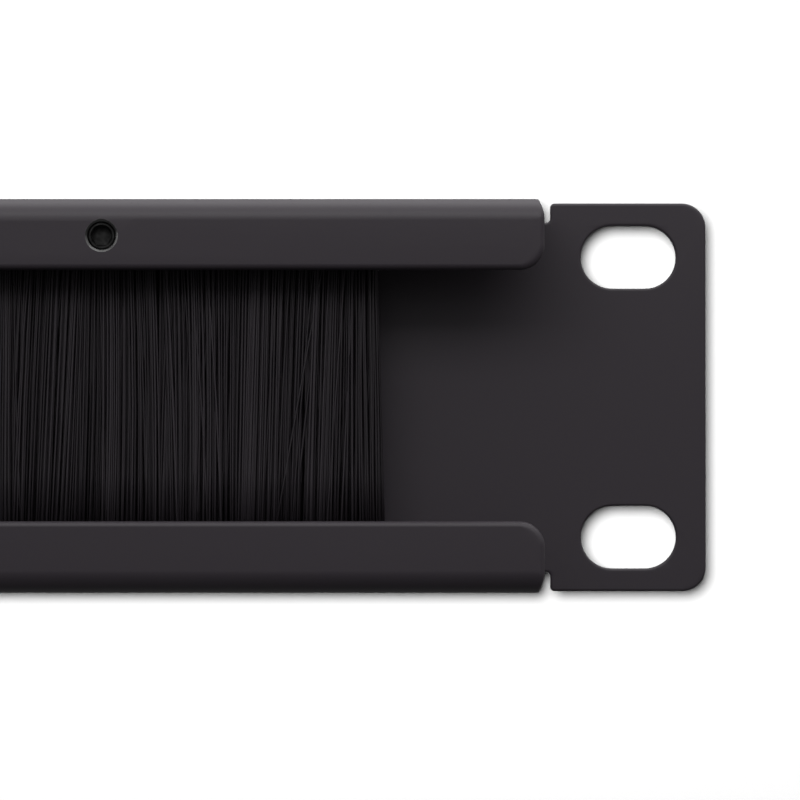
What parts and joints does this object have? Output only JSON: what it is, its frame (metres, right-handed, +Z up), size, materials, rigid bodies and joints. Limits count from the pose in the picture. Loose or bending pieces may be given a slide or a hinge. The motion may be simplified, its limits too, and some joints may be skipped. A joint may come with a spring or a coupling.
{
  "type": "rack brush strip panel",
  "caption": "One-unit black steel rack panel folded into a shallow channel, with slotted ears and a hanging strip brush that closes its cable window.",
  "frame": {"origin": "centre of the four rack slots, on the rear face that seats on the rack's rails", "axes": "+X along the panel's width, front faces -Y, +Z up"},
  "size_m": [0.4826, 0.0135, 0.044],
  "materials": {
    "powder_coat": "satin black powder coat",
    "mill_aluminium": "mill-finish extrusion",
    "zinc_steel": "galvanised strip",
    "core_steel": "drawn wire",
    "bristle_nylon": "black nylon filament",
    "oxide_steel": "black oxide"
  },
  "bodies": {
    "root": {"panel": "powder_coat", "brush_carrier": "mill_aluminium", "strip_backing": "zinc_steel", "core_wire": "core_steel", "bristles": "bristle_nylon", "set_screw_1": "oxide_steel", "set_screw_2": "oxide_steel", "set_screw_3": "oxide_steel", "set_screw_4": "oxide_steel"}
  },
  "joints": []
}
